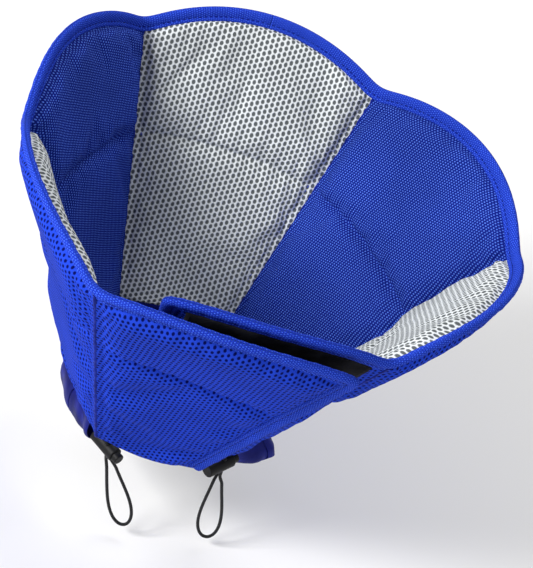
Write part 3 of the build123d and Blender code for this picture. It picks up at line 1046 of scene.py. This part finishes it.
def build_sleeve():
    grid_points = sleeve_surface()
    s = lengths(HEM)
    middles = {n: int(np.mean(np.flatnonzero(HEM_OWNERS == n))) for n in SLEEVE_PANELS}
    stretches = [("sleeve_end_left", 0, middles[2], 2, None)]
    for k in range(2, 6):
        stretches.append((f"sleeve_{k}_{k + 1}", middles[k], middles[k + 1], None, k))
    stretches.append(("sleeve_end_right", middles[6], len(HEM) - 1, 6, None))
    for name, start, end, panel, seam in stretches:
        part = grid_points[start : end + 1]
        down = np.stack([lengths(column) for column in part])
        uv = np.stack(np.broadcast_arrays(s[start : end + 1, None], down), -1)
        faces = [f[::-1] for f in grid_faces(part.shape[0], part.shape[1])]
        piece = make_object(name, part, faces, SATIN, uv)
        add_modifier(piece, "SOLIDIFY", thickness=0.45 * MM, offset=0)
        if seam is None:
            add_modifier(piece, "SUBSURF", levels=1, render_levels=1)
            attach(piece, f"panel_{panel}")
        else:
            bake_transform(piece)
        if name == "sleeve_end_left":
            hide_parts("neck_sleeve_2")
        elif seam is not None:
            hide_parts(f"neck_sleeve_{seam + 1}")


CORD_END_RISE_MM = (5.0, 3.5)  # the cord's ends pass this far above their locks


def build_drawcord():
    """The cord in its casing, one length per panel, and its two ends that run to the locks."""
    joints = {j["name"]: j for j in frame["joints"]}
    for n in SLEEVE_PANELS:
        points = cad_points(f"drawcord_{n}")
        middle = points.mean(0)
        heading = math.atan2(middle[1], middle[0])
        side = points @ np.array([-math.sin(heading), math.cos(heading), 0.0])
        front = points @ np.array([math.cos(heading), math.sin(heading), 0.0])
        angle = heading + np.arctan2(side, front)
        turn = np.linspace(angle.min(), angle.max(), 40)
        radius = (CASING_MM + 0.5 * np.sin(turn * 38)) * MM
        path = np.stack([radius * np.cos(turn), radius * np.sin(turn), np.full(40, CORD_HEIGHT)], -1)
        piece = round_tube(f"elastic_{n}", path, 1.3 * MM, BLACK_CORD)
        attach(piece, f"panel_{n}")
        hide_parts(f"drawcord_{n}")
    for side, n, index in (("left", 2, 0), ("right", 6, len(HEM) - 1)):
        target = np.array(joints[f"cord_{side}_swings"]["pos_m"])
        spot = HEM[index]
        heading = unit(spot * np.array([1, 1, 0]))
        start = heading * CASING_MM * MM + np.array([0, 0, CORD_HEIGHT])
        rise = [np.array([0, 0, z * MM]) for z in CORD_END_RISE_MM]
        level = start * np.array([1, 1, 0]) + np.array([0, 0, target[2]])
        over = [level + (target - level) * q + z for q, z in zip((0.3, 0.7), rise)]
        path = spline([start, *over, target], 60)
        piece = round_tube(f"cord_end_{side}", path, 1.0 * MM, BLACK_CORD)
        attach(piece, f"panel_{n}")


build_sleeve()
build_drawcord()


# ---------------------------------------------------------------- hanging cord loops


STEM_MM, CORD_MM, CORD_GAP_MM = 13.0, 1.0, 1.1
STRAIGHT_MM = 14.5  # the strands stay straight this far, where the lock slides
# Shares of the fall and of the half width along each strand
TEARDROP = ((0.12, 0.2), (0.3, 0.5), (0.5, 0.82), (0.68, 1.0), (0.82, 0.98), (0.93, 0.68))


def build_cord_loop(side):
    """Doubled cord from a lock, opening into a long teardrop; its place comes from the CAD loop."""
    joints = {j["name"]: j for j in frame["joints"]}
    top = np.array(joints[f"cord_{side}_swings"]["pos_m"])
    down = unit(np.array(joints[f"lock_{side}_slides"]["axis"]))
    barrel = -unit(np.array(joints[f"button_{side}_presses"]["axis"]))
    across = np.cross(down, barrel)
    points = cad_points(f"cord_loop_{side}")
    bottom = points[np.argmax((points - top) @ unit(points.mean(0) - top))]
    stem = STEM_MM * MM
    hang = top + down * stem
    fall = bottom - hang
    drop = unit(fall)
    lower = points[(points - hang) @ drop > 0.3 * np.linalg.norm(fall)]
    middle = lower.mean(0)
    sideways = lower - middle - np.outer((lower - middle) @ drop, drop)
    spread = np.linalg.svd(sideways, full_matrices=False)[2][0]
    spread = spread * np.sign(spread @ across)
    half_width = ((lower - hang) @ spread).max() - CORD_MM * MM
    outline = []
    for way in (1, -1):
        strand = [top + across * (way * CORD_GAP_MM * MM), hang + across * (way * CORD_GAP_MM * MM)]
        strand += [hang + fall * f + spread * (way * half_width * w) for f, w in TEARDROP]
        outline.append(strand)
    end = hang + fall - drop * CORD_MM * MM
    path = spline(outline[0] + [end] + outline[1][::-1], 150)
    depth = (path - top) @ down
    way = np.where(np.arange(len(path)) < len(path) / 2, 1, -1)
    straight = top + depth[:, None] * down + (way * CORD_GAP_MM * MM)[:, None] * across
    held = 1 - smooth_step((depth / MM - STRAIGHT_MM) / 6.0)
    path = straight * held[:, None] + path * (1 - held[:, None])
    piece = round_tube(f"pull_loop_{side}", path, CORD_MM * MM, BLACK_CORD, sides_count=10)
    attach(piece, f"cord_loop_{side}")
    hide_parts(f"cord_loop_{side}")


for lock in ("left", "right"):
    build_cord_loop(lock)
for node, piece in frame["nodes"].items():
    if node.startswith("lock_"):
        finish = STEEL if "spring" in node else PLASTIC
        for material_slot in piece.material_slots:
            material_slot.material = finish


# ---------------------------------------------------------------- stage, light and camera

CAMERA_PLACE = (-0.14662, -0.90433, 0.77138)
CAMERA_AZIMUTH = 11.16  # degrees, from +Y toward +X
CAMERA_DROP = 36.37  # degrees the view looks down
CAMERA_ROLL = 24.5
CAMERA_LENS, SENSOR = 127.1, 36.0
LIGHTS = (
    # name, place, size, power
    ("key", (-1.6, -0.85, 1.2), 0.6, 50),
    ("fill", (1.2, -1.2, 0.9), 1.6, 5),
    ("back", (0.4, 1.2, 1.6), 1.2, 16),
)
LIGHT_AIM = (0.0, 0.0, 0.08)
AMBIENT = 0.44


def build_camera():
    azimuth, drop, roll = (math.radians(v) for v in (CAMERA_AZIMUTH, CAMERA_DROP, CAMERA_ROLL))
    level = np.array([math.cos(azimuth), -math.sin(azimuth), 0.0])
    ahead = np.array([math.sin(azimuth), math.cos(azimuth), 0.0])
    forward = math.cos(drop) * ahead - math.sin(drop) * np.array([0.0, 0.0, 1.0])
    right = math.cos(roll) * level + math.sin(roll) * np.cross(level, forward)
    up = np.cross(right, forward)
    data = bpy.data.cameras.new("camera")
    data.lens = CAMERA_LENS
    data.sensor_width = SENSOR
    camera = bpy.data.objects.new("camera", data)
    columns = np.stack([right, up, -forward, np.array(CAMERA_PLACE)], -1)
    camera.matrix_world = Matrix([*map(tuple, columns), (0, 0, 0, 1)])
    bpy.context.scene.collection.objects.link(camera)
    bpy.context.scene.camera = camera


def build_light(name, place, size, power):
    data = bpy.data.lights.new(name, "AREA")
    data.size = size
    data.energy = power
    light = bpy.data.objects.new(name, data)
    light.location = place
    light.rotation_euler = (Vector(LIGHT_AIM) - Vector(place)).to_track_quat("-Z", "Y").to_euler()
    bpy.context.scene.collection.objects.link(light)


def build_floor():
    low = min(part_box(n)[0].z for n in frame["nodes"])
    graph = Graph("pale_floor")
    material = graph.finish(linear(244, 243, 241), 0.9)
    span = 6.0
    corners = [(-span, -span, low), (span, -span, low), (span, span, low), (-span, span, low)]
    floor = make_object("floor", corners, [(0, 1, 2, 3)], material)


build_camera()
build_floor()
for light in LIGHTS:
    build_light(*light)
world = bpy.data.worlds.new("studio")
world.use_nodes = True
world.node_tree.nodes["Background"].inputs[0].default_value = (0.97, 0.98, 1.0, 1.0)
world.node_tree.nodes["Background"].inputs[1].default_value = AMBIENT
bpy.context.scene.world = world
bpy.context.scene.view_settings.view_transform = "Standard"
